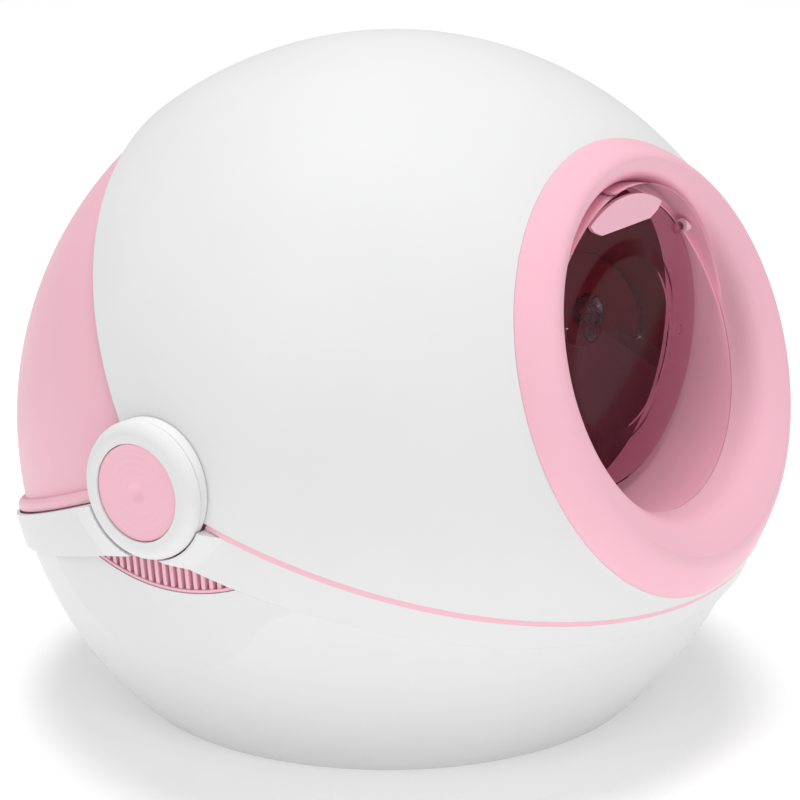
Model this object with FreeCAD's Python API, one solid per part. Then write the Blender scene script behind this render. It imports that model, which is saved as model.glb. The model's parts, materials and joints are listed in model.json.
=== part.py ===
"""Hooded cat litter box: a ball-shaped cabin on a flat foot.

A white base holds a pull-out litter tub.  A pink rear dome stands on the tub's rim and carries,
on each side, a hood pivot pin and a handle axle.  A white front hood turns back over the dome,
with a round entrance, a sleeve behind it and a hanging clear flap.  A white carrying handle lies
round the back and swings up over the top.

Millimetres, +Z up, the entrance faces -Y.  Everything is built about the centre of the ball and
lifted at the end, so that the origin is the centre of the flat foot, on the floor.
Polar angles are measured in the YZ plane from +Y (the rear) towards +Z (the top).
"""
import FreeCAD, Part
import math
import os

from FreeCAD import Vector

# ---- driving dimensions -------------------------------------------------------------------
SHELL_R = 255.0          # outer radius of the front hood
CENTRE_HEIGHT = 182.4    # centre of the ball above the floor
AXIS_Z = 18.0            # handle axis above the centre of the ball
WALL = 2.6               # moulded wall of the covers

HOOD_INNER_R = SHELL_R - WALL
DOME_R = 250.0           # outer radius of the rear dome, which the hood slides over
DOME_WALL = 3.0
BODY_R = 251.0           # the base's bowl, whose centre lies a little towards the rear
BODY_Y = 5.4
BODY_WALL = 3.2
RIM_R = 252.4            # the base's rim band
RECESS_R = 248.4         # the same, where the folded handle lies over it
RECESS_Y = 20.0          # the recess starts this far behind the pivots

FRONT_SEAM = 20.2        # slope of the seam in front of the handle axis, degrees
REAR_SEAM = 21.75        # slope of the seam behind it
HOOD_REAR = 53.0         # polar angle of the hood's rear edge
DOME_FRONT = 60.0        # polar angle of the dome's edge, under the hood
CREASE_Z = -22.5         # lower edge of the rim band, at the handle axis
FRONT_CREASE = 15.55
REAR_CREASE = 16.8
TUB_RIM = 4.2            # visible thickness of the tub's rim flange
GAP = 0.4                # clearance between faces that part

HOOD_TRAVEL = 55.0       # the hood's swing, degrees

# entrance, as fractions of the ball's radius
ENTRANCE_TILT = 18.6     # the entrance ring faces up by this angle
SLEEVE_R = 0.393 * SHELL_R
SLEEVE_Z = 0.3016 * SHELL_R
FLAP_Y = -0.6775 * SHELL_R
FLAP_R = 0.3614 * SHELL_R
FLAP_HINGE_Z = 0.5452 * SHELL_R
FLAP_T = 2.0
FLAP_PLATEAU_R = 0.262 * SHELL_R
FLAP_PIN_X = 0.267 * SHELL_R
FLAP_PIN_R = 1.9
SLEEVE_END_Y = -0.58 * SHELL_R
FLANGE_D = 0.775         # the plane of the sleeve's flange, as a fraction of the ball's radius
SEAM_D = 0.7946          # the joint between ring and sleeve
MOUTH_R = 0.535          # the hole in the hood
SCREW_R = 1.6
SCREW_BOSS_R = 4.5

# side hubs: distances from the middle plane
HUB_R = 43.2
HUB_FACE_X = 266.0
HUB_WEB_X = 260.3
HUB_BACK_X = 257.4
HUB_EDGE = 8.4           # rounding of the hub's outer edge
COLLAR_R = 43.0
COLLAR_FACE_X = 257.0
COLLAR_BALL_R = 255.7
AXLE_R = 8.0
PIN_R = 6.0
BUSH_R = 11.0
BUTTON_R = 30.2
BUTTON_FACE_X = 265.0
BUTTON_STEM_R = 3.0
NOTCH_R = 44.2           # the U-shaped notch in the base's rim, round the hub

HANDLE_R = 258.4         # outer radius of the carrying handle's bow
HANDLE_INNER_R = 256.0

SCOOP_R = 449.0          # the flat-looking finger scoops in the base's sides
SCOOP_OFFSET = 207.3
SCOOP_DIRECTION = Vector(1.0, 0.05, -0.045)
VENT_ARC_R = 154.6       # lower edge of the ribbed crescent in each scoop
VENT_ARC_Y = 6.4
VENT_ARC_Z = 102.2

SIDES = {"left": -1, "right": 1}
ORIGIN = Vector(0, 0, 0)
X_AXIS = Vector(1, 0, 0)
REACH = 600.0


# ---- helpers ------------------------------------------------------------------------------
def ball(radius, centre=ORIGIN):
    """A full sphere with its poles on the X axis, where the pivots are."""
    return Part.makeSphere(radius, centre, X_AXIS, -90, 90, 360)


def wedge(start, end, apex_z=AXIS_Z):
    """A prism along X that fills the polar angles from start to end about a line at apex_z."""
    steps = max(2, math.ceil((end - start) / 45.0))
    angles = [math.radians(start + (end - start) * i / steps) for i in range(steps + 1)]
    points = [Vector(-REACH, 0, apex_z)]
    points += [Vector(-REACH, REACH * math.cos(a), apex_z + REACH * math.sin(a)) for a in angles]
    return Part.Face(Part.makePolygon(points + points[:1])).extrude(Vector(2 * REACH, 0, 0))


def below(front_slope, rear_slope, apex_z):
    """Everything under the roof-shaped pair of planes that meet on a line at apex_z."""
    return wedge(180 + front_slope, 360 - rear_slope, apex_z)


def block(low, high):
    """A box between two corners."""
    size = [high[i] - low[i] for i in range(3)]
    return Part.makeBox(*size, Vector(*low))


def rod(radius, start_x, end_x, y=0.0, z=AXIS_Z):
    """A cylinder along X between two distances from the middle plane."""
    return Part.makeCylinder(radius, end_x - start_x, Vector(start_x, y, z), X_AXIS)


def tube(outer, inner, start_x, end_x, y=0.0, z=AXIS_Z):
    """A hollow cylinder along X."""
    return rod(outer, start_x, end_x, y, z).cut(rod(inner, start_x - 1, end_x + 1, y, z))


def hexagon(across_corners, start_x, end_x):
    """A hexagonal bar along X on the handle axis."""
    radius = across_corners / 2
    corners = [Vector(start_x, radius * math.cos(math.radians(60 * i)),
                      AXIS_Z + radius * math.sin(math.radians(60 * i))) for i in range(7)]
    return Part.Face(Part.makePolygon(corners)).extrude(Vector(end_x - start_x, 0, 0))


def loft(wires, ruled=False):
    """A solid through a stack of closed wires, with its outside facing outwards."""
    body = Part.makeLoft(wires, True, ruled)
    if body.Volume < 0:
        body.reverse()
    return body


def mirrored(shape, side):
    """The shape as built for the right side, or its mirror image for the left."""
    if SIDES[side] > 0:
        return shape
    return shape.mirror(ORIGIN, X_AXIS)


def both(shape):
    """The shape and its mirror image in the middle plane."""
    return [shape, shape.mirror(ORIGIN, X_AXIS)]


def solid_of(shape):
    """The one solid in a boolean result."""
    shape = shape.removeSplitter()
    assert len(shape.Solids) == 1, len(shape.Solids)
    return shape.Solids[0]


NODES = {}


def keep(name, *shapes):
    """Store the solids of a node."""
    solids = [solid for shape in shapes for solid in shape.Solids]
    NODES[name] = solids[0] if len(solids) == 1 else Part.makeCompound(solids)


def rim_ball(inset):
    """The ball of the rim, stepped in behind the hubs so that it lifts out past the handle."""
    rear = block((-REACH, RECESS_Y, -REACH), (REACH, REACH, REACH))
    front = ball(RIM_R - inset).cut(rear)
    return front.fuse(ball(RECESS_R - inset).common(rear))


# ---- base ---------------------------------------------------------------------------------
def scoop_ball(inset, side):
    """The large sphere whose surface is the side scoop, moved inwards by inset."""
    direction = Vector(SCOOP_DIRECTION).normalize()
    centre = Vector(0, BODY_Y, 0) - direction * SCOOP_OFFSET
    centre.x *= SIDES[side]
    return ball(SCOOP_R - inset, centre)


def scooped(shape, inset=0.0):
    """The shape with its two sides flattened by the scoops."""
    return shape.common(scoop_ball(inset, "left")).common(scoop_ball(inset, "right"))


def crease_circle(drop, radius, centre):
    """The circle that a plane, parallel to the front crease and drop below it, cuts from a sphere."""
    slope = math.radians(FRONT_CREASE)
    normal = Vector(0, -math.sin(slope), math.cos(slope))
    distance = CREASE_Z * math.cos(slope) - drop - centre.dot(normal)
    circle = Part.Circle(centre + normal * distance, normal, math.sqrt(radius ** 2 - distance ** 2))
    return Part.Wire(circle.toShape())


def front_skirt():
    """The gentle step from the front of the rim band down to the bowl."""
    step = 24.0
    rings = [crease_circle(-1.0, RIM_R, ORIGIN),
             crease_circle(step, BODY_R - 0.3, Vector(0, BODY_Y, 0))]
    front_half = block((-REACH, -REACH, -REACH), (REACH, 0, REACH))
    return loft(rings, True).common(front_half)


def hub_cradle():
    """The raised lip of the rim that hugs the front and the underside of one hub."""
    start_x, lip_x, reach = 244.0, 258.0, 15.0
    cone = Part.makeCone(NOTCH_R + reach, NOTCH_R + 1.8, lip_x - start_x,
                         Vector(start_x, 0, AXIS_Z), X_AXIS)
    lower = below(FRONT_SEAM, REAR_SEAM, AXIS_Z - TUB_RIM - GAP)
    zone = block((200, -90, AXIS_Z - NOTCH_R - 5.0), (300, 4, AXIS_Z))
    return cone.common(lower).common(zone)


def vent_opening(inset, side):
    """The crescent between the rim band's lower edge and the vent's arc."""
    arc = rod(VENT_ARC_R - inset, 180, 300, VENT_ARC_Y, VENT_ARC_Z)
    return mirrored(arc.common(below(FRONT_CREASE, REAR_CREASE, CREASE_Z)), side)


def make_base():
    floor = -CENTRE_HEIGHT
    bowl_centre = Vector(0, BODY_Y, 0)
    above_floor = block((-REACH, -REACH, floor), (REACH, REACH, REACH))
    under_crease = below(FRONT_CREASE, REAR_CREASE, CREASE_Z)
    under_seam = below(FRONT_SEAM, REAR_SEAM, AXIS_Z - TUB_RIM - GAP)

    bowl = ball(BODY_R, bowl_centre).fuse(front_skirt()).common(under_crease)
    bowl = scooped(bowl)
    rim = rim_ball(0.0).common(under_seam).cut(under_crease)
    outer = bowl.fuse(rim).common(above_floor)
    for cradle in both(hub_cradle()):
        outer = outer.fuse(cradle)

    inside = ball(BODY_R - BODY_WALL, bowl_centre).common(ball(RIM_R - BODY_WALL))
    inside = scooped(inside, BODY_WALL)
    ledge = below(FRONT_CREASE, REAR_CREASE, CREASE_Z + BODY_WALL)
    inside = inside.fuse(rim_ball(BODY_WALL).cut(ledge))
    above_bottom = block((-REACH, -REACH, floor + BODY_WALL), (REACH, REACH, REACH))
    base = outer.cut(inside.common(above_bottom))
    for notch in both(rod(NOTCH_R, 236, 300)):
        base = base.cut(notch)
    for side in SIDES:
        base = base.cut(vent_opening(0.0, side))
    keep("base_shell", solid_of(base))


def make_side_grip(side):
    """The ribbed pink crescent that fills one vent."""
    depth, rib_depth, plate, edge = 10.5, 1.2, 2.0, 2.0
    rib_width, pitch, ribs, middle_y = 2.9, 6.0, 21, 3.0
    front, back = scoop_ball(0.6, side), scoop_ball(depth, side)
    window = vent_opening(0.3, side)
    layer = scoop_ball(depth - plate, side).cut(back).common(window)
    rim = front.cut(back).common(window).cut(vent_opening(0.3 + edge, side))
    grip = layer.fuse(rim)
    for i in range(ribs):
        y = middle_y + pitch * (i - (ribs - 1) / 2)
        rib = block((180, y - rib_width / 2, -60), (300, y + rib_width / 2, 0))
        rib = mirrored(rib, side).common(scoop_ball(rib_depth, side)).cut(back).common(window)
        grip = grip.fuse(rib)
    keep("side_grip_" + side, solid_of(grip))


# ---- litter tub ---------------------------------------------------------------------------
def make_tub():
    wall, bottom_z, outer_r, scoop_inset, flange_r = 2.6, -171.0, 241.5, 14.0, 253.9
    centre = Vector(0, 3, 0)
    top = below(FRONT_SEAM, REAR_SEAM, AXIS_Z - GAP)
    under_rim = below(FRONT_SEAM, REAR_SEAM, AXIS_Z - TUB_RIM)

    def bowl(inset):
        low = block((-REACH, -REACH, bottom_z + inset), (REACH, REACH, REACH))
        return scooped(ball(outer_r - inset, centre), scoop_inset + inset).common(low)

    front = block((-REACH, -REACH, -REACH), (REACH, 0, REACH))
    flange = rim_ball(0.8).fuse(ball(flange_r).common(front)).common(top).cut(under_rim)
    tub = bowl(0.0).common(top).fuse(flange).cut(bowl(wall))
    for notch in both(rod(24.0, 180, 300)) + both(rod(NOTCH_R, 241.5, 300)):
        tub = tub.cut(notch)
    keep("litter_tub", solid_of(tub))


# ---- rear dome and its side pivots --------------------------------------------------------
def seam_bead():
    """The bead along the dome's lower edge, round on top and flat underneath."""
    bead_r, rise, proud, start_y = 5.0, 2.4, 5.9, 42.6
    slope = math.radians(REAR_SEAM)
    normal = Vector(0, math.sin(slope), math.cos(slope))
    distance = AXIS_Z * math.cos(slope) + rise
    outer = math.sqrt((DOME_R + proud) ** 2 - distance ** 2)
    torus = Part.makeTorus(outer - bead_r, bead_r, normal * distance, normal)
    bead = torus.common(block((-REACH, start_y, -REACH), (REACH, REACH, REACH)))
    return bead.common(wedge(-REAR_SEAM, 90))


def make_dome():
    shell = ball(DOME_R).common(wedge(-REAR_SEAM, DOME_FRONT))
    shell = shell.fuse(seam_bead())
    for cheek in both(rod(COLLAR_R - 1.0, 200, 300)):
        shell = shell.fuse(cheek.common(ball(DOME_R)))
    foot_depth, foot_height = 8.0, 3.0
    foot = ball(DOME_R - 1).cut(ball(DOME_R - foot_depth))
    foot = foot.common(block((-REACH, 55, -REACH), (REACH, REACH, 0)))
    foot = foot.common(below(0, REAR_SEAM, AXIS_Z + foot_height)).common(wedge(-REAR_SEAM, DOME_FRONT))
    dome = shell.cut(ball(DOME_R - DOME_WALL)).fuse(foot)
    for boss in both(rod(13.0, 243.0, 247.5)):
        dome = dome.fuse(boss)
    for boss in both(rod(9.0, 244.0, 249.0, 0, 0)):
        dome = dome.fuse(boss)
    for bore in both(rod(AXLE_R, 200, 300)) + both(rod(PIN_R, 200, 300, 0, 0)):
        dome = dome.cut(bore)
    keep("rear_dome", solid_of(dome))


def make_pivot(side):
    """The collar, handle axle and hood pin of one side."""
    collar = rod(COLLAR_R, 240, COLLAR_FACE_X).cut(ball(COLLAR_BALL_R))
    collar = collar.cut(rod(AXLE_R, 240, 300)).cut(rod(PIN_R, 240, COLLAR_FACE_X - 0.8, 0, 0))
    keep("pivot_collar_" + side, mirrored(solid_of(collar), side))

    head_r, head_x, outer_x, inner_x = 15.0, HUB_WEB_X + 0.2, HUB_WEB_X + 1.3, 236.3
    axle = rod(AXLE_R, inner_x, outer_x).fuse(rod(head_r, head_x, outer_x))
    axle = axle.cut(rod(BUTTON_STEM_R + 0.3, 200, 300)).cut(rod(6.2, 255.0, 300))
    keep("handle_axle_" + side, mirrored(solid_of(axle), side))


def make_pivot_hardware():
    keep("axle_washers", *both(tube(12.5, AXLE_R, 241.6, 243.0)))
    nut = hexagon(24.0, 236.8, 241.6).cut(rod(AXLE_R, 200, 300))
    keep("axle_nuts", *both(nut))
    keep("hood_pivot_pins", *both(rod(PIN_R, 243.2, COLLAR_FACE_X - 0.8, 0, 0)))


# ---- front hood ---------------------------------------------------------------------------
def entrance_normal():
    tilt = math.radians(ENTRANCE_TILT)
    return Vector(0, -math.cos(tilt), math.sin(tilt))


def entrance_up():
    tilt = math.radians(ENTRANCE_TILT)
    return Vector(0, math.sin(tilt), math.cos(tilt))


def facing_circle(centre, radius, tilt=0.0):
    """A circle that faces forwards and up by tilt, and starts on its +X side."""
    circle = Part.Wire(Part.makeCircle(radius))
    circle.rotate(ORIGIN, X_AXIS, 90 - tilt)
    circle.translate(centre)
    return circle


def entrance_circle(distance, radius, lift=0.0, grow=0.0):
    """A circle in a plane square to the entrance's axis, in fractions of the ball's radius."""
    centre = entrance_normal() * (distance * SHELL_R) + entrance_up() * (lift * SHELL_R)
    return facing_circle(centre, radius * SHELL_R + grow, ENTRANCE_TILT)


def pivot_at(turn):
    """The handle axis as the hood sees it, once the hood has turned back by an angle."""
    polar = math.radians(90 + turn)
    return AXIS_Z * math.cos(polar), AXIS_Z * math.sin(polar)


def hood_ear():
    """The tab, hidden under the hub, that joins the hood to its pivot pin."""
    y_open, z_open = pivot_at(HOOD_TRAVEL)
    ear_r = COLLAR_R - 1.5
    return rod(ear_r, 200, 300).common(rod(ear_r, 200, 300, y_open, z_open))


def axle_slot():
    """The curved slot in the ear that passes the handle's axle as the hood turns."""
    half = AXLE_R + 0.6
    sector = wedge(90, 90 + HOOD_TRAVEL, 0.0)
    ring = tube(AXIS_Z + half, AXIS_Z - half, 200, 300, 0, 0).common(sector)
    y_open, z_open = pivot_at(HOOD_TRAVEL)
    return ring.fuse(rod(half, 200, 300)).fuse(rod(half, 200, 300, y_open, z_open))


def entrance_disc(radius, start, end):
    """A cylinder along the entrance's axis, in fractions of the ball's radius."""
    normal = entrance_normal()
    return Part.makeCylinder(radius * SHELL_R, (end - start) * SHELL_R, normal * (start * SHELL_R), normal)


def hood_seat():
    """The ball that the entrance ring sits on, with the hood's mouth through it."""
    return ball(SHELL_R).cut(entrance_disc(MOUTH_R, 0.0, 1.5))


def make_hood():
    outer = wedge(HOOD_REAR, 180 + FRONT_SEAM, AXIS_Z)
    for ear in both(hood_ear()):
        outer = outer.fuse(ear)
    lip_r, lip_y = 249.4, -75.0
    lip = ball(HOOD_INNER_R + 0.5).cut(ball(lip_r)).cut(below(FRONT_SEAM, 0, AXIS_Z))
    lip = lip.common(below(FRONT_SEAM, 0, AXIS_Z + WALL))
    lip = lip.common(block((-REACH, -REACH, -REACH), (REACH, lip_y, 0)))
    hood = outer.common(ball(SHELL_R)).cut(ball(HOOD_INNER_R)).fuse(lip)
    hood = hood.cut(entrance_disc(MOUTH_R, 0.0, 1.5))
    for opening in both(axle_slot()) + both(rod(PIN_R + 0.06, 200, 300, 0, 0)):
        hood = hood.cut(opening)
    keep("front_hood", solid_of(hood))


OUTER_RING = [(0.815, 0.5685, 0.0), (0.828, 0.5670, 0.0), (0.866, 0.541, 0.004),
              (0.892, 0.515, 0.009), (0.902, 0.490, 0.013)]
INNER_RING = [(0.902, 0.490, 0.013), (0.893, 0.462, 0.022), (0.871, 0.431, 0.033),
              (0.830, 0.414, 0.045), (SEAM_D, 0.4068, 0.0537)]


def ring_body(rings, grow=0.0, sink=0.0):
    """A round body through a stack of entrance circles, grown and moved along the axis in mm."""
    return loft([entrance_circle(d - sink / SHELL_R, r, lift, grow) for d, r, lift in rings])


def screw_places():
    """The centres of the screws round the entrance, measured from the entrance's axis."""
    radius, count = 0.492 * SHELL_R, 6
    for i in range(count):
        angle = 2 * math.pi * (i + 0.5) / count
        yield (X_AXIS * math.cos(angle) + entrance_up() * math.sin(angle)) * radius


def screw_rod(place, radius, start, end):
    """A cylinder along the entrance's axis between two distances, in mm."""
    normal = entrance_normal()
    return Part.makeCylinder(radius, end - start, place + normal * start, normal)


def make_bezel():
    wall = 3.0
    outer, inner = ring_body(OUTER_RING), ring_body(INNER_RING)
    skin = outer.cut(ring_body(OUTER_RING, -wall, wall))
    throat = ring_body(INNER_RING, wall).common(outer.fuse(entrance_disc(0.5, SEAM_D, 0.83)))
    bezel = skin.fuse(throat).cut(inner).cut(hood_seat())
    for place in screw_places():
        boss = screw_rod(place, SCREW_BOSS_R, SEAM_D * SHELL_R, 0.885 * SHELL_R)
        bezel = bezel.fuse(boss)
        bezel = bezel.cut(screw_rod(place, SCREW_R, 0.7 * SHELL_R, 0.875 * SHELL_R))
    keep("entrance_bezel", solid_of(bezel))


def sleeve_bore(grow, start=0.0, end=0.0):
    """The round way in, from the ring's seam to the sleeve's inner end."""
    rings = []
    for y, radius in [(SLEEVE_END_Y + end, SLEEVE_R - 1.5), (-0.62 * SHELL_R, SLEEVE_R - 1.0),
                      (-0.70 * SHELL_R, SLEEVE_R)]:
        rings.append(facing_circle(Vector(0, y, SLEEVE_Z), radius + grow))
    rings.append(entrance_circle(SEAM_D + start / SHELL_R, 0.4068, 0.0537, grow))
    return loft(rings)


def make_sleeve():
    wall, flange_t, seam_gap, lip_clearance = 2.5, 3.0, 0.3, 3.4
    flange_low = FLANGE_D * SHELL_R
    flange = screw_rod(ORIGIN, 0.56 * SHELL_R, flange_low, flange_low + flange_t)
    flange = flange.common(ball(HOOD_INNER_R - GAP)).cut(below(FRONT_SEAM, 0, AXIS_Z + lip_clearance))
    sleeve = sleeve_bore(wall, -seam_gap).fuse(flange)
    for place in screw_places():
        sleeve = sleeve.fuse(screw_rod(place, SCREW_BOSS_R, flange_low, SEAM_D * SHELL_R))
        sleeve = sleeve.cut(screw_rod(place, SCREW_R, flange_low - 5, SHELL_R))
    sleeve = sleeve.cut(sleeve_bore(0.0, 1.0, 1.0))
    keep("entrance_sleeve", solid_of(sleeve))


def make_bezel_screws():
    head_r, head_t, length, recess_r, recess_depth = 3.4, 2.2, 15.0, 1.3, 1.2
    flange_low = FLANGE_D * SHELL_R
    screws = []
    for place in screw_places():
        head = screw_rod(place, head_r, flange_low - head_t, flange_low)
        recess = screw_rod(place, recess_r, flange_low - head_t - 1, flange_low - head_t + recess_depth)
        shank = screw_rod(place, SCREW_R, flange_low, flange_low + length)
        screws.append(head.fuse(shank).cut(recess))
    keep("bezel_screws", *screws)


# ---- flap ---------------------------------------------------------------------------------
def plate(radius, front_y, back_y):
    """A round plate square to the Y axis, on the sleeve's axis."""
    return Part.makeCylinder(radius, back_y - front_y, Vector(0, front_y, SLEEVE_Z), Vector(0, 1, 0))


def flap_plateau(y):
    """The low round plateau that stands forward in the middle of the flap, from its wide end at y."""
    narrowing, height = 10.7, 2.6
    return Part.makeCone(FLAP_PLATEAU_R, FLAP_PLATEAU_R - narrowing, height,
                         Vector(0, y, SLEEVE_Z), Vector(0, -1, 0))


def flap_knob(side):
    """The ball at one end of the flap's hinge line."""
    return ball(4.2, Vector(SIDES[side] * FLAP_PIN_X, FLAP_Y, FLAP_HINGE_Z))


def make_flap():
    half, bump_r = FLAP_T / 2, 3.2
    flap = plate(FLAP_R, FLAP_Y - half, FLAP_Y + half)
    flap = flap.fuse(flap_plateau(FLAP_Y - half)).cut(flap_plateau(FLAP_Y + half))
    bump_at = Vector(0.281 * SHELL_R, FLAP_Y - half - 1.2, 0.277 * SHELL_R)
    flap = flap.fuse(Part.makeCylinder(bump_r, 1.2, bump_at, Vector(0, 1, 0)))
    for side in SIDES:
        flap = flap.cut(flap_knob(side))
    keep("door_flap", solid_of(flap))


def make_flap_top_plate():
    thickness = 2.6
    front_y = FLAP_Y - FLAP_T / 2 - thickness
    low, side_low, side_high, top = 0.601, 0.615, 0.634, 0.679

    def at(x, z):
        return Vector(x * SHELL_R, front_y, z * SHELL_R)

    corners = [at(-0.1665, side_high), at(-0.146, side_low), at(-0.112, low),
               at(0.112, low), at(0.146, side_low), at(0.1665, side_high)]
    edges = [Part.LineSegment(a, b).toShape() for a, b in zip(corners, corners[1:])]
    edges.append(Part.Arc(corners[-1], at(0, top), corners[0]).toShape())
    keep("flap_top_plate", Part.Face(Part.Wire(edges)).extrude(Vector(0, thickness, 0)))


def make_flap_hinge(side):
    stem_end, socket_r, running = 76.0, 4.6, 0.05
    stem = rod(FLAP_PIN_R, FLAP_PIN_X, stem_end, FLAP_Y, FLAP_HINGE_Z)
    keep("flap_pin_" + side, solid_of(mirrored(stem, side).fuse(flap_knob(side))))
    socket = rod(socket_r, 73.0, 90.0, FLAP_Y, FLAP_HINGE_Z)
    socket = socket.cut(rod(FLAP_PIN_R + running, 70, stem_end + 0.3, FLAP_Y, FLAP_HINGE_Z))
    inside_sleeve = plate(SLEEVE_R - 0.5, FLAP_Y - 20, FLAP_Y + 20)
    keep("flap_socket_" + side, mirrored(solid_of(socket.common(inside_sleeve)), side))


# ---- handle and side buttons --------------------------------------------------------------
def handle_zone():
    """The prism between the dome's bead and the base's ledge, behind the handle axis."""
    start_y, top_gap, low_gap = 8.0, 0.9, 0.7
    top_slope, low_slope = (math.tan(math.radians(a)) for a in (REAR_SEAM, REAR_CREASE))
    corners = [Vector(-REACH, y, z) for y, z in (
        (start_y, AXIS_Z - top_gap - start_y * top_slope), (REACH, AXIS_Z - top_gap - REACH * top_slope),
        (REACH, CREASE_Z + low_gap - REACH * low_slope),
        (start_y, CREASE_Z + low_gap - start_y * low_slope))]
    return Part.Face(Part.makePolygon(corners + corners[:1])).extrude(Vector(2 * REACH, 0, 0))


def handle_hub():
    """The right-hand hub: a rounded disc with a seat for the button and a hole for the bush."""
    hub = rod(HUB_R, HUB_BACK_X, HUB_FACE_X)
    outer_edge = [e for e in hub.Edges if isinstance(e.Curve, Part.Circle) and
                  abs(e.CenterOfMass.x - HUB_FACE_X) < 0.01]
    hub = hub.makeFillet(HUB_EDGE, outer_edge)
    return hub.cut(rod(BUTTON_R + 0.4, HUB_WEB_X, 300)).cut(rod(BUSH_R, 200, 300))


def make_handle():
    ramp_reach, ramp_start_x, ramp_end_x = 34.0, 246.0, 264.0
    zone = handle_zone()
    ramp = Part.makeCone(HUB_R + ramp_reach, HUB_R - 1.0, ramp_end_x - ramp_start_x,
                         Vector(ramp_start_x, 0, AXIS_Z), X_AXIS)
    bow = ball(HANDLE_R).common(zone)
    for shape in both(ramp.common(zone)):
        bow = bow.fuse(shape)
    bow = bow.cut(ball(HANDLE_INNER_R))
    for shape in both(rod(HUB_R - 0.5, 200, 300)) + both(rod(COLLAR_R + GAP, 200, HUB_BACK_X)):
        bow = bow.cut(shape)
    for shape in both(handle_hub()):
        bow = bow.fuse(shape)
    keep("carry_handle", solid_of(bow))


def make_hub_bush(side):
    keep("hub_bush_" + side, mirrored(tube(BUSH_R, AXLE_R + 0.05, HUB_BACK_X, HUB_WEB_X), side))


def make_button(side):
    face_t, skirt_t, skirt_x, stem_end, groove_r = 1.6, 1.8, HUB_WEB_X + 2.0, 234.0, 2.4
    groove_x, groove_w, dimple_r, dimple_depth = 234.8, 1.1, 7.5, 1.1
    back_x = BUTTON_FACE_X - face_t
    cap = rod(BUTTON_R, skirt_x, BUTTON_FACE_X)
    rim = [e for e in cap.Edges if isinstance(e.Curve, Part.Circle) and
           abs(e.CenterOfMass.x - BUTTON_FACE_X) < 0.01]
    cap = cap.makeFillet(0.8, rim).cut(rod(BUTTON_R - skirt_t, skirt_x - 1, back_x))
    cap = cap.fuse(rod(BUTTON_STEM_R, stem_end, back_x + 0.5))
    cap = cap.cut(tube(BUTTON_STEM_R + 1, groove_r, groove_x, groove_x + groove_w))
    ball_r = (dimple_r ** 2 + dimple_depth ** 2) / (2 * dimple_depth)
    cap = cap.cut(Part.makeSphere(ball_r, Vector(BUTTON_FACE_X + ball_r - dimple_depth, 0, AXIS_Z)))
    keep("button_" + side, mirrored(solid_of(cap), side))
    clip = tube(5.2, groove_r, groove_x, groove_x + groove_w)
    keep("button_clip_" + side, mirrored(clip, side))

    coil_r, wire_r, pitch, start_x, end_x = 4.7, 0.4, 2.1, 255.5, 262.9
    helix = Part.makeHelix(pitch, end_x - start_x, coil_r)
    section = Part.Wire(Part.Circle(Vector(coil_r, 0, 0), Vector(0, 1, 0), wire_r).toShape())
    spring = Part.Wire(helix).makePipeShell([section], True, True)
    spring.rotate(ORIGIN, Vector(0, 1, 0), 90)
    spring.translate(Vector(start_x, 0, AXIS_Z))
    keep("button_spring_" + side, mirrored(Part.Solid(spring), side))


# ---- all together -------------------------------------------------------------------------
def main():
    os.makedirs("parts", exist_ok=True)
    make_base()
    make_tub()
    make_dome()
    make_pivot_hardware()
    make_hood()
    make_bezel()
    make_sleeve()
    make_bezel_screws()
    make_flap()
    make_flap_top_plate()
    make_handle()
    for side in SIDES:
        make_side_grip(side)
        make_pivot(side)
        make_flap_hinge(side)
        make_hub_bush(side)
        make_button(side)
    for name, shape in NODES.items():
        shape = shape.copy()
        shape.translate(Vector(0, 0, CENTRE_HEIGHT))
        assert shape.isValid() and shape.Volume > 0, name
        shape.exportStep("parts/%s.step" % name)
        box = shape.BoundBox
        print("%-22s %9.0f mm3  x %.1f..%.1f  y %.1f..%.1f  z %.1f..%.1f" % (
            name, shape.Volume, box.XMin, box.XMax, box.YMin, box.YMax, box.ZMin, box.ZMax))


main()
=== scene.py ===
"""Looks of the hooded cat litter box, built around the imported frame.  Metres, +Z up."""

import json
import math

import bmesh
import bpy
from mathutils import Matrix, Vector


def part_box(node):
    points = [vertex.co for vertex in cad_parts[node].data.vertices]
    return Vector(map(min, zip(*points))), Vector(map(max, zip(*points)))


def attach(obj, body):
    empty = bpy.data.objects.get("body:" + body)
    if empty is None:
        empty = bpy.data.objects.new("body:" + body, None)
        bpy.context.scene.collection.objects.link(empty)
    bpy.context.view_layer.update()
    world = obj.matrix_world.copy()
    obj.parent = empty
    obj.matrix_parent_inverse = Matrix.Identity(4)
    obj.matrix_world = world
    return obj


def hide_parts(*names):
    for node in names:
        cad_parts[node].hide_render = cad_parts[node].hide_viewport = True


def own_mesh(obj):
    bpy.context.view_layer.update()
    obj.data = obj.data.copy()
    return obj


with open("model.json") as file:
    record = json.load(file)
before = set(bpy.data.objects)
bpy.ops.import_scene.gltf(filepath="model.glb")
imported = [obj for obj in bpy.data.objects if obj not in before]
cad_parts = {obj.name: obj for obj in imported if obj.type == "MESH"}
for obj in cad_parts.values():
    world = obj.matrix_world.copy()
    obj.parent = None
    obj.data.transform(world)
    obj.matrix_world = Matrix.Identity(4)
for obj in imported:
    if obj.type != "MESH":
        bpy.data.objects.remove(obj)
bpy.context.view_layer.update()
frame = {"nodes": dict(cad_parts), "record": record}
NODES = frame["nodes"]

R = 0.255                                # outer radius of the hood
CENTRE = Vector((0.0, 0.0, 0.1824))      # centre of the ball


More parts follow.
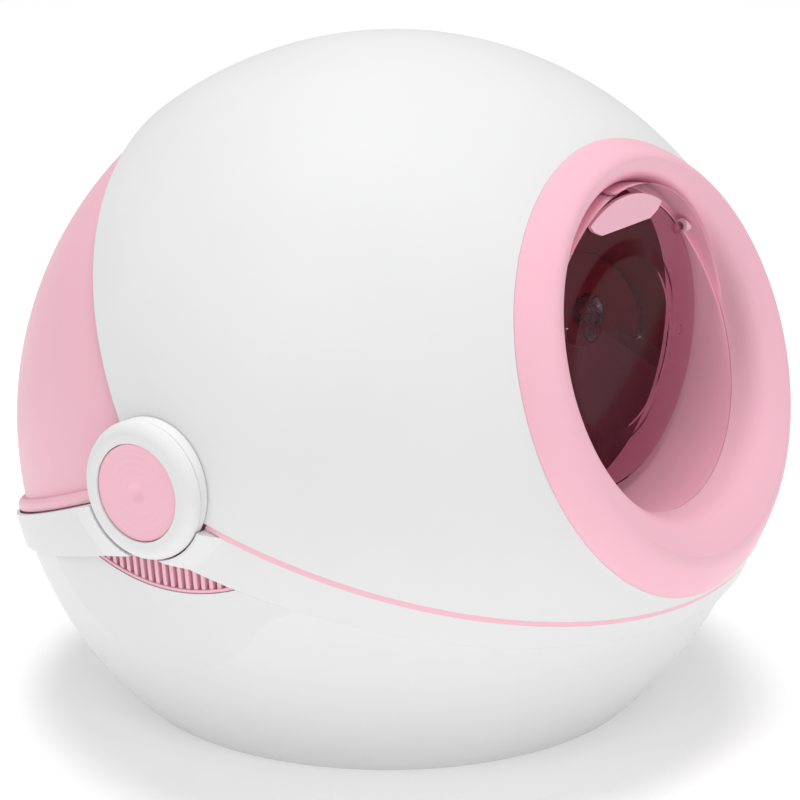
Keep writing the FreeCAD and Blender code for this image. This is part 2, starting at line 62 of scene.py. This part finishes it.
# ---- camera -------------------------------------------------------------------------------
def make_camera():
    azimuth, elevation = math.radians(-54.6), math.radians(17.04)
    lens_mm, distance, aim_right, aim_up = 134.9, 7.837 * R, 0.0135 * R, 0.0367 * R
    back = Vector((math.sin(azimuth) * math.cos(elevation),
                   -math.cos(azimuth) * math.cos(elevation), math.sin(elevation)))
    right = (-back).cross(Vector((0, 0, 1))).normalized()
    up = right.cross(-back)
    aim = CENTRE + right * aim_right + up * aim_up
    data = bpy.data.cameras.new("camera")
    data.lens, data.sensor_width = lens_mm, 36.0
    data.clip_start, data.clip_end = 0.05, 60.0
    camera = bpy.data.objects.new("camera", data)
    bpy.context.scene.collection.objects.link(camera)
    camera.matrix_world = Matrix.Translation(aim + back * distance) @ Matrix(
        (right, up, back)).transposed().to_4x4()
    bpy.context.scene.camera = camera


# ---- studio -------------------------------------------------------------------------------
def area_light(name, place, target, size, watts, glossy=True):
    data = bpy.data.lights.new(name, "AREA")
    data.shape, data.size, data.energy = "DISK", size, watts
    light = bpy.data.objects.new(name, data)
    bpy.context.scene.collection.objects.link(light)
    light.visible_glossy = glossy
    light.location = place
    light.rotation_euler = (Vector(target) - Vector(place)).to_track_quat("-Z", "Y").to_euler()


def make_studio():
    bpy.ops.mesh.primitive_plane_add(size=40)
    floor = bpy.context.active_object
    floor.name = "floor"
    material = bpy.data.materials.new("floor_white")
    material.use_nodes = True
    shader = material.node_tree.nodes["Principled BSDF"]
    shader.inputs["Base Color"].default_value = (0.93, 0.93, 0.93, 1)
    shader.inputs["Roughness"].default_value = 0.9
    shader.inputs["Specular IOR Level"].default_value = 0.1
    shader.inputs["Emission Color"].default_value = (1, 1, 1, 1)
    shader.inputs["Emission Strength"].default_value = 0.16
    floor.data.materials.append(material)

    world = bpy.data.worlds.new("studio")
    world.use_nodes = True
    world.node_tree.nodes["Background"].inputs["Color"].default_value = (1, 1, 1, 1)
    world.node_tree.nodes["Background"].inputs["Strength"].default_value = 0.42
    bpy.context.scene.world = world
    bpy.context.scene.view_settings.view_transform = "Standard"

    area_light("top_light", (0.45, 0.3, 5.0), (0.45, 0.3, 0), 3.0, 175, glossy=False)
    area_light("front_light", (-1.5, -2.6, 1.3), (0, -0.15, 0.25), 2.4, 20)
    area_light("side_light", (-2.8, 0.4, 1.5), (0, 0, 0.2), 2.0, 12)


# ---- materials ----------------------------------------------------------------------------
class Nodes:
    """Small helper that adds and joins shader nodes."""

    def __init__(self, name):
        self.material = bpy.data.materials.new(name)
        self.material.use_nodes = True
        self.tree = self.material.node_tree
        self.shader = self.tree.nodes["Principled BSDF"]
        self.coords = self.add("ShaderNodeTexCoord").outputs["Object"]

    def add(self, kind, **values):
        node = self.tree.nodes.new(kind)
        for key, value in values.items():
            if hasattr(node, key):
                setattr(node, key, value)
            else:
                node.inputs[key.replace("_", " ")].default_value = value
        return node

    def join(self, output, target):
        self.tree.links.new(output, target)

    def noise(self, scale, detail=3.0, roughness=0.55, vector=None):
        node = self.add("ShaderNodeTexNoise")
        node.inputs["Scale"].default_value = scale
        node.inputs["Detail"].default_value = detail
        node.inputs["Roughness"].default_value = roughness
        self.join(vector or self.coords, node.inputs["Vector"])
        return node.outputs["Fac"]

    def spread(self, value, low, high):
        """Map a 0.3..0.7 noise value onto low..high."""
        node = self.add("ShaderNodeMapRange")
        for key, number in zip(("From Min", "From Max", "To Min", "To Max"), (0.3, 0.7, low, high)):
            node.inputs[key].default_value = number
        self.join(value, node.inputs["Value"])
        return node.outputs["Result"]

    def mix(self, factor, a, b):
        node = self.add("ShaderNodeMix", data_type="RGBA")
        node.inputs["A"].default_value = (*a, 1)
        node.inputs["B"].default_value = (*b, 1)
        self.join(factor, node.inputs["Factor"])
        return node.outputs["Result"]

    def inside(self, radius, outer, inner):
        """The outer colour, or the inner one nearer to the ball's centre than radius: painted shade
        on a shell's inner face.
        """
        distance = self.add("ShaderNodeVectorMath", operation="DISTANCE")
        self.join(self.coords, distance.inputs[0])
        distance.inputs[1].default_value = CENTRE
        nearer = self.add("ShaderNodeMath", operation="LESS_THAN")
        nearer.inputs[1].default_value = radius
        self.join(distance.outputs["Value"], nearer.inputs[0])
        node = self.add("ShaderNodeMix", data_type="RGBA")
        self.join(outer, node.inputs["A"])
        node.inputs["B"].default_value = (*inner, 1)
        self.join(nearer.outputs["Value"], node.inputs["Factor"])
        return node.outputs["Result"]


def moulded_plastic(name, colour, roughness=0.42, grain=0.02, edge=0.0006, inner_shade=None):
    """Satin injection-moulded plastic with faint flow clouds, fine grain and softened edges.

    inner_shade is a painted shade colour for a shell's inner face, and the radius about the ball's
    centre inside which it is painted.
    """
    n = Nodes(name)
    shade = [c * 0.965 for c in colour]
    clouds = n.spread(n.noise(7.0, 4.0), 0.0, 1.0)
    tint = n.mix(clouds, shade, colour)
    # painted shade: faces nearer the ball's centre than the given radius get a dark rose in place of
    # the plastic's colour
    if inner_shade:
        tint = n.inside(inner_shade[1], tint, inner_shade[0])
    n.join(tint, n.shader.inputs["Base Color"])
    n.join(n.spread(n.noise(26.0, 5.0), roughness - 0.035, roughness + 0.035),
           n.shader.inputs["Roughness"])
    bump = n.add("ShaderNodeBump")
    bump.inputs["Strength"].default_value = grain
    bump.inputs["Distance"].default_value = 0.0002
    n.join(n.noise(1400.0, 2.0), bump.inputs["Height"])
    bevel = n.add("ShaderNodeBevel", samples=6)
    bevel.inputs["Radius"].default_value = edge
    n.join(bevel.outputs["Normal"], bump.inputs["Normal"])
    n.join(bump.outputs["Normal"], n.shader.inputs["Normal"])
    n.shader.inputs["IOR"].default_value = 1.49
    n.shader.inputs["Specular IOR Level"].default_value = 0.36
    return n.material


def clear_plastic(name):
    """Clear, slightly rosy sheet with faint scuffs."""
    n = Nodes(name)
    n.shader.inputs["Base Color"].default_value = (0.95, 0.72, 0.80, 1)
    n.shader.inputs["Transmission Weight"].default_value = 1.0
    n.shader.inputs["IOR"].default_value = 1.09
    scuffs = n.spread(n.noise(60.0, 6.0, 0.7), 0.0, 0.03)
    n.join(scuffs, n.shader.inputs["Roughness"])
    return n.material


def plated_steel(name):
    """Zinc-plated steel with a fine turned grain."""
    n = Nodes(name)
    n.join(n.mix(n.spread(n.noise(90.0, 4.0), 0, 1), (0.50, 0.50, 0.52), (0.66, 0.66, 0.68)),
           n.shader.inputs["Base Color"])
    n.shader.inputs["Metallic"].default_value = 1.0
    n.join(n.spread(n.noise(300.0, 3.0), 0.22, 0.38), n.shader.inputs["Roughness"])
    return n.material


WHITE_COLOUR = (0.765, 0.765, 0.772)
PINK_COLOUR = (0.88, 0.49, 0.585)
INNER_SHADE_ROSE = (0.80, 0.20, 0.28)         # painted shade: dark rose standing in for the shade and pink interreflection inside the hood and dome
# radii about the ball's centre inside which the hood's and dome's inner faces get painted shade
HOOD_INNER_SHADE_R, DOME_INNER_SHADE_R = 0.2535, 0.2488
WHITE = moulded_plastic("white_shell_plastic", WHITE_COLOUR)
# painted shade: the hood's inner face is painted dark rose, not white
HOOD_WHITE_SHADED_INSIDE = moulded_plastic("white_hood_plastic_painted_shade", WHITE_COLOUR, inner_shade=(INNER_SHADE_ROSE, HOOD_INNER_SHADE_R))
PINK = moulded_plastic("pink_shell_plastic", PINK_COLOUR)
# painted shade: a deeper pink than the other pink parts, standing in for shade and interreflection
# inside the entrance sleeve
SLEEVE_SHADED_PINK = moulded_plastic("pink_sleeve_painted_shade", (0.90, 0.44, 0.55))
# painted shade: the dome's inner face is painted dark rose
DOME_PINK_SHADED_INSIDE = moulded_plastic("pink_dome_plastic_painted_shade", PINK_COLOUR, inner_shade=(INNER_SHADE_ROSE, DOME_INNER_SHADE_R))
BUSH = moulded_plastic("bush_acetal", (0.75, 0.74, 0.70), 0.5)
CLEAR = clear_plastic("clear_flap_sheet")
STEEL = plated_steel("plated_steel")
LOOK = {"white_shell": WHITE, "pink_shell": PINK, "bush_plastic": BUSH,
        "clear_flap": CLEAR, "steel": STEEL}
NODE_LOOK = {"entrance_sleeve": SLEEVE_SHADED_PINK, "rear_dome": DOME_PINK_SHADED_INSIDE, "front_hood": HOOD_WHITE_SHADED_INSIDE}


def dress_nodes():
    """Give every CAD node the procedural material of its slot."""
    for entry in frame["record"]["subparts"]:
        mesh = NODES[entry["node"]].data
        mesh.materials.clear()
        slot_look = LOOK[entry["material_slot"]]
        mesh.materials.append(NODE_LOOK.get(entry["node"], slot_look))


# ---- buttons and their springs ------------------------------------------------------------
def finish_mesh(name, mesh, material):
    """Turn a bmesh into a smooth piece with one material."""
    bmesh.ops.recalc_face_normals(mesh, faces=mesh.faces)
    data = bpy.data.meshes.new(name)
    mesh.to_mesh(data)
    mesh.free()
    data.shade_smooth()
    data.materials.append(material)
    piece = bpy.data.objects.new(name, data)
    bpy.context.scene.collection.objects.link(piece)
    return piece


def lathe(name, profile, middle, sign, steps=96):
    """Turn a closed profile of (depth, radius) pairs round the line through middle along X."""
    mesh = bmesh.new()
    rings = []
    for depth, radius in profile:
        if radius < 1e-7:
            rings.append([mesh.verts.new((sign * depth, middle[0], middle[1]))])
            continue
        turns = [2 * math.pi * i / steps for i in range(steps)]
        rings.append([mesh.verts.new((sign * depth, middle[0] + radius * math.cos(a),
                                      middle[1] + radius * math.sin(a))) for a in turns])
    for inner, outer in zip(rings, rings[1:]):
        for i in range(steps):
            j = (i + 1) % steps
            loop = [inner[i % len(inner)], outer[i % len(outer)], outer[j % len(outer)],
                    inner[j % len(inner)]]
            mesh.faces.new(list(dict.fromkeys(loop)))
    return finish_mesh(name, mesh, PINK)


def make_button(side):
    """Dished push button with shallow turned rings, its skirt and its grooved stem."""
    node = "button_" + side
    low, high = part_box(node)
    sign = 1 if high[0] > 0 else -1
    back, face = sorted((abs(low[0]), abs(high[0])))
    middle = ((low[1] + high[1]) / 2, (low[2] + high[2]) / 2)
    radius = (high[1] - low[1]) / 2
    edge, wall, cap, stem = 0.0008, 0.0018, 0.0016, 0.003
    dimple_steps, face_steps, edge_steps = 16, 60, 6
    dimple_r, dimple_depth, ring_pitch, ring_depth = 0.0076, 0.0015, 0.0045, 0.00008
    skirt, groove_start, groove_width, groove_r = face - 0.0027, 0.0008, 0.0011, 0.0024

    profile = []
    for i in range(dimple_steps + 1):
        r = dimple_r * i / dimple_steps
        profile.append((face - dimple_depth * (0.5 + 0.5 * math.cos(math.pi * r / dimple_r)), r))
    flat_r = radius - edge
    for i in range(1, face_steps + 1):
        r = dimple_r + (flat_r - dimple_r) * i / face_steps
        wave = 0.5 - 0.5 * math.cos(2 * math.pi * (r - dimple_r) / ring_pitch)
        fade = min(1.0, (flat_r - r) / ring_pitch)
        profile.append((face - ring_depth * wave * fade, r))
    for i in range(1, edge_steps + 1):
        a = math.pi / 2 * i / edge_steps
        profile.append((face - edge * (1 - math.cos(a)), flat_r + edge * math.sin(a)))
    groove = back + groove_start
    profile += [(skirt, radius), (skirt, radius - wall), (face - cap, radius - wall),
                (face - cap, stem), (groove + groove_width, stem),
                (groove + groove_width, groove_r), (groove, groove_r), (groove, stem),
                (back, stem), (back, 0.0)]
    piece = lathe("push_button_" + side, profile, middle, sign)
    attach(piece, node)
    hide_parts(node)


def make_spring(side):
    """The button's return spring, held on the axle."""
    node = "button_spring_" + side
    wire, pitch, travel, per_turn, around = 0.0004, 0.0021, 0.0015, 24, 8
    low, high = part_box(node)
    sign = 1 if high[0] > 0 else -1
    inner, outer = sorted((abs(low[0]), abs(high[0])))
    button_low, button_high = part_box("button_" + side)
    middle = Vector((0, (button_low[1] + button_high[1]) / 2, (button_low[2] + button_high[2]) / 2))
    coil = (high[1] - low[1]) / 2 - wire
    length = outer - inner - 2 * wire
    count = round(length / pitch * per_turn)
    mesh = bmesh.new()
    rings = []
    for k in range(count + 1):
        turn = 2 * math.pi * k / per_turn
        outwards = Vector((0, math.cos(turn), math.sin(turn)))
        along = Vector((sign, 0, 0))
        centre = middle + outwards * coil + along * (inner + wire + length * k / count)
        angles = [2 * math.pi * i / around for i in range(around)]
        rings.append([mesh.verts.new(centre + (outwards * math.cos(a) + along * math.sin(a)) * wire)
                      for a in angles])
    for first, second in zip(rings, rings[1:]):
        for i in range(around):
            j = (i + 1) % around
            mesh.faces.new((first[i], first[j], second[j], second[i]))
    mesh.faces.new(rings[0])
    mesh.faces.new(rings[-1])
    piece = finish_mesh("return_spring_" + side, mesh, STEEL)
    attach(piece, "top")
    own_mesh(piece)
    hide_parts(node)


make_camera()
make_studio()
dress_nodes()
for side in ("left", "right"):
    make_button(side)
    make_spring(side)
